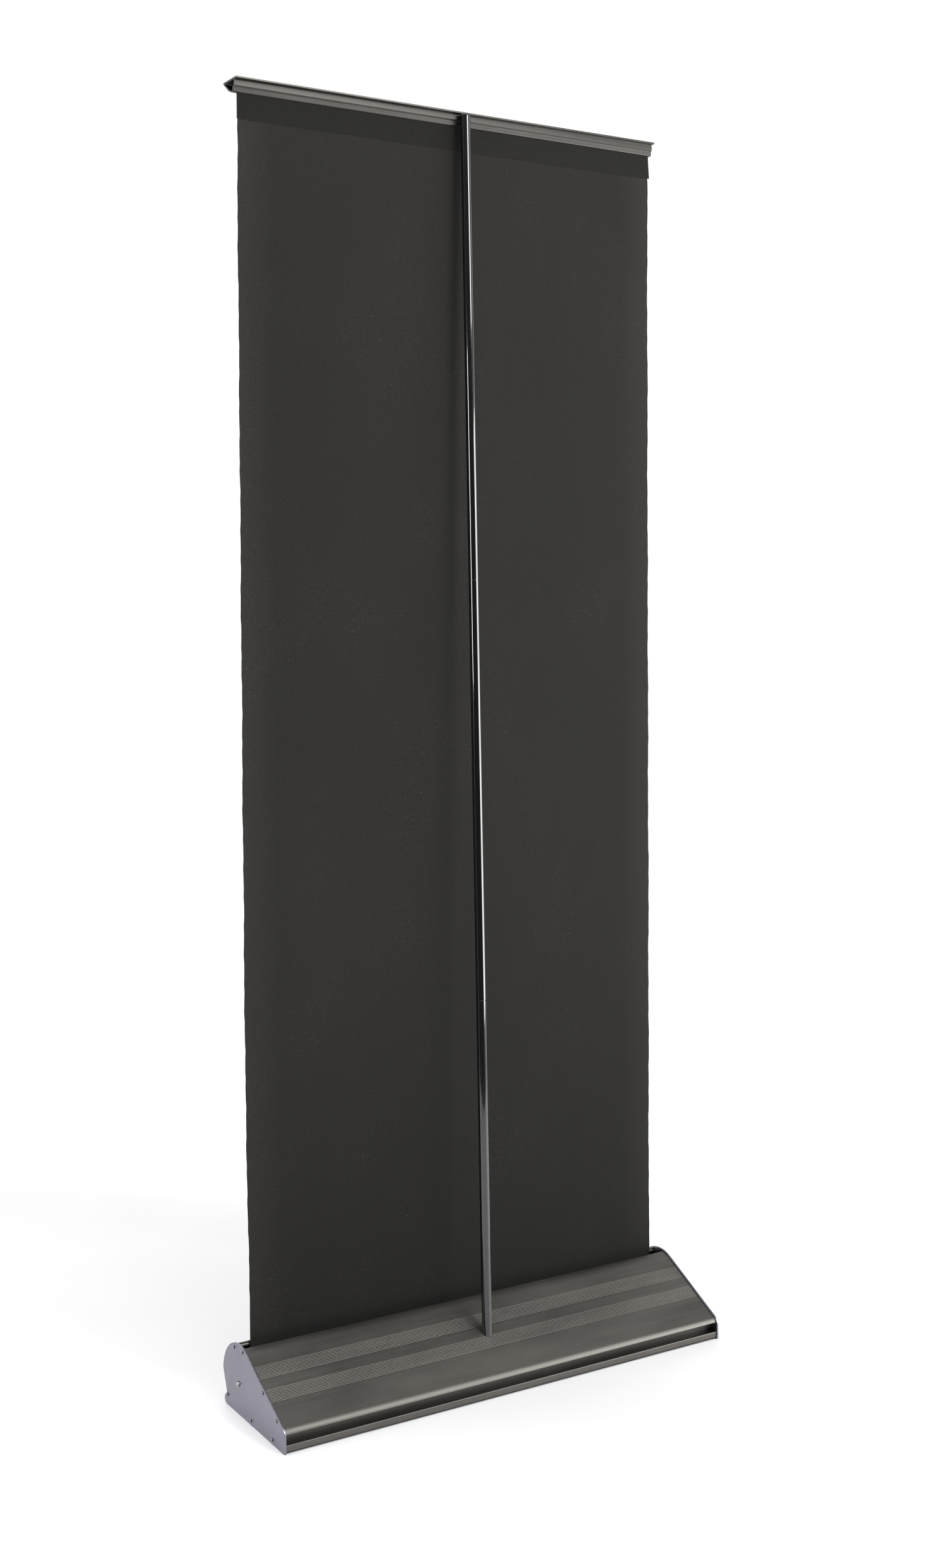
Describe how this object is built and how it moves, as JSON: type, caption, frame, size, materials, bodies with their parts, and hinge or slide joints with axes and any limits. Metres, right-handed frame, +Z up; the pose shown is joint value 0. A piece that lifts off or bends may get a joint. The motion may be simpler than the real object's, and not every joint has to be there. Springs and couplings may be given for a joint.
{
  "type": "roll-up banner stand",
  "caption": "Free-standing retractable banner stand: teardrop base with a sprung roller, a tall cloth banner, a sectioned rear pole and a clamping top rail.",
  "frame": {"origin": "middle of the base's outline, on the floor that the end plates stand on", "axes": "+X along the base to the left end as seen from behind, +Y to the rear (the pole's side; the banner's front faces -Y), +Z up"},
  "size_m": [0.843, 0.2276, 2.106],
  "materials": {
    "black_anodised_aluminium": "black anodised, satin, extruded",
    "grey_anodised_aluminium": "dark grey anodised, satin, flat sheet",
    "bright_steel": "bright turned or drawn steel",
    "zinc_plated_steel": "zinc plated, dull grey",
    "gloss_black_pole": "near-black, glossy",
    "black_plastic": "moulded, fine texture",
    "black_banner_cloth": "woven, matt, charcoal black",
    "black_hem_tape": "coarser weave, matt, black",
    "leader_film": "smooth film",
    "black_elastic": "braided elastic cord"
  },
  "bodies": {
    "base": {"body_extrusion": "black_anodised_aluminium", "rear_cover": "black_anodised_aluminium", "end_plate_left": "grey_anodised_aluminium", "end_plate_right": "grey_anodised_aluminium", "pole_socket": "black_plastic", "spring_axle": "bright_steel", "idle_axle": "bright_steel", "return_spring": "bright_steel", "spring_collar": "black_plastic", "screw_left_slot_front": "zinc_plated_steel", "screw_left_toe": "zinc_plated_steel", "screw_left_floor_front": "zinc_plated_steel", "screw_left_floor_rear": "zinc_plated_steel", "screw_left_slot_rear": "zinc_plated_steel", "screw_left_slope_upper": "zinc_plated_steel", "screw_left_slope_lower": "zinc_plated_steel", "screw_right_slot_front": "zinc_plated_steel", "screw_right_toe": "zinc_plated_steel", "screw_right_floor_front": "zinc_plated_steel", "screw_right_floor_rear": "zinc_plated_steel", "screw_right_slot_rear": "zinc_plated_steel", "screw_right_slope_upper": "zinc_plated_steel", "screw_right_slope_lower": "zinc_plated_steel"},
    "roller": {"roller_tube": "black_anodised_aluminium", "leader_wrap": "leader_film", "roller_plug_left": "black_plastic", "roller_plug_right": "black_plastic"},
    "pole_lower_section": {"pole_lower": "gloss_black_pole", "pole_foot_plug": "black_plastic", "pole_ferrule_lower": "bright_steel", "shock_cord_lower": "black_elastic"},
    "pole_middle_section": {"pole_middle": "gloss_black_pole", "pole_ferrule_upper": "bright_steel", "shock_cord_middle": "black_elastic"},
    "pole_top_section": {"pole_top": "gloss_black_pole", "pole_tip_plug": "black_plastic", "shock_cord_top": "black_elastic"},
    "banner": {"rail_body": "black_anodised_aluminium", "rail_clamp": "black_anodised_aluminium", "banner_fabric": "black_banner_cloth", "hem_strip": "black_hem_tape"}
  },
  "joints": [
    {"name": "pole_lift", "type": "slide", "parent": "base", "child": "pole_lower_section", "axis": [-0.0098, -0.0417, 0.9991], "range_m": [0, 0.025]},
    {"name": "middle_section_pull", "type": "slide", "parent": "pole_lower_section", "child": "pole_middle_section", "axis": [-0.0098, -0.0417, 0.9991], "range_m": [0, 0.03]},
    {"name": "top_section_pull", "type": "slide", "parent": "pole_middle_section", "child": "pole_top_section", "axis": [-0.0098, -0.0417, 0.9991], "range_m": [0, 0.03]},
    {"name": "banner_travel", "type": "slide", "parent": "pole_top_section", "child": "banner", "axis": [0, 0, 1], "range_m": [-1.968, 0], "deforming": ["banner_fabric"]},
    {"name": "roller_spin", "type": "hinge", "parent": "base", "child": "roller", "pos_m": [0, -0.0515, 0.05], "axis": [1, 0, 0], "range_deg": [0, 6840]}
  ],
  "couplings": [
    {"joint": "roller_spin", "follows": "banner_travel", "rad_per_m": -60.6}
  ]
}
